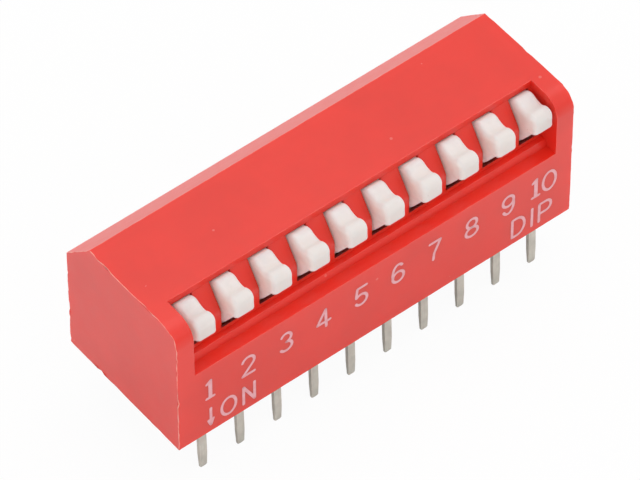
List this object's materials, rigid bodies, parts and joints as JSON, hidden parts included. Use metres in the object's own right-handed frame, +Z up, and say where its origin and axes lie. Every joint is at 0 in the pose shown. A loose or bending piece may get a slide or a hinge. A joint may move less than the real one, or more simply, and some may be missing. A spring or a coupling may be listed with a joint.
{
  "type": "piano dip switch",
  "caption": "Piano-key DIP switch for a circuit board: a red housing with a row of white rocking levers over flat solder pins.",
  "frame": {"origin": "on the board surface, in the middle of the two rows of pins", "axes": "+X along the row from position 1 to the last, +Y from the levers' face to the back, +Z up from the board"},
  "size_m": [0.027, 0.0095, 0.013],
  "materials": {
    "housing": "satin moulded plastic",
    "base": "matte moulded plastic",
    "lever": "satin moulded plastic",
    "contact": "gold plated",
    "terminal": "tinned, satin"
  },
  "bodies": {
    "body": {"housing": "housing", "base": "base", "front_terminal_1": "terminal", "front_terminal_2": "terminal", "front_terminal_3": "terminal", "front_terminal_4": "terminal", "front_terminal_5": "terminal", "front_terminal_6": "terminal", "front_terminal_7": "terminal", "front_terminal_8": "terminal", "front_terminal_9": "terminal", "front_terminal_10": "terminal", "rear_terminal_1": "terminal", "rear_terminal_2": "terminal", "rear_terminal_3": "terminal", "rear_terminal_4": "terminal", "rear_terminal_5": "terminal", "rear_terminal_6": "terminal", "rear_terminal_7": "terminal", "rear_terminal_8": "terminal", "rear_terminal_9": "terminal", "rear_terminal_10": "terminal"},
    "lever_1": {"lever_1": "lever", "contact_1": "contact"},
    "lever_2": {"lever_2": "lever", "contact_2": "contact"},
    "lever_3": {"lever_3": "lever", "contact_3": "contact"},
    "lever_4": {"lever_4": "lever", "contact_4": "contact"},
    "lever_5": {"lever_5": "lever", "contact_5": "contact"},
    "lever_6": {"lever_6": "lever", "contact_6": "contact"},
    "lever_7": {"lever_7": "lever", "contact_7": "contact"},
    "lever_8": {"lever_8": "lever", "contact_8": "contact"},
    "lever_9": {"lever_9": "lever", "contact_9": "contact"},
    "lever_10": {"lever_10": "lever", "contact_10": "contact"}
  },
  "joints": [
    {"name": "lever_1_rock", "type": "hinge", "parent": "body", "child": "lever_1", "pos_m": [-0.01143, -0.00121, 0.0074], "axis": [1, 0, 0], "range_deg": [0, 15]},
    {"name": "lever_2_rock", "type": "hinge", "parent": "body", "child": "lever_2", "pos_m": [-0.00889, -0.00121, 0.0074], "axis": [1, 0, 0], "range_deg": [0, 15]},
    {"name": "lever_3_rock", "type": "hinge", "parent": "body", "child": "lever_3", "pos_m": [-0.00635, -0.00121, 0.0074], "axis": [1, 0, 0], "range_deg": [0, 15]},
    {"name": "lever_4_rock", "type": "hinge", "parent": "body", "child": "lever_4", "pos_m": [-0.00381, -0.00121, 0.0074], "axis": [1, 0, 0], "range_deg": [0, 15]},
    {"name": "lever_5_rock", "type": "hinge", "parent": "body", "child": "lever_5", "pos_m": [-0.00127, -0.00121, 0.0074], "axis": [1, 0, 0], "range_deg": [0, 15]},
    {"name": "lever_6_rock", "type": "hinge", "parent": "body", "child": "lever_6", "pos_m": [0.00127, -0.00121, 0.0074], "axis": [1, 0, 0], "range_deg": [0, 15]},
    {"name": "lever_7_rock", "type": "hinge", "parent": "body", "child": "lever_7", "pos_m": [0.00381, -0.00121, 0.0074], "axis": [1, 0, 0], "range_deg": [0, 15]},
    {"name": "lever_8_rock", "type": "hinge", "parent": "body", "child": "lever_8", "pos_m": [0.00635, -0.00121, 0.0074], "axis": [1, 0, 0], "range_deg": [0, 15]},
    {"name": "lever_9_rock", "type": "hinge", "parent": "body", "child": "lever_9", "pos_m": [0.00889, -0.00121, 0.0074], "axis": [1, 0, 0], "range_deg": [0, 15]},
    {"name": "lever_10_rock", "type": "hinge", "parent": "body", "child": "lever_10", "pos_m": [0.01143, -0.00121, 0.0074], "axis": [1, 0, 0], "range_deg": [0, 15]}
  ]
}
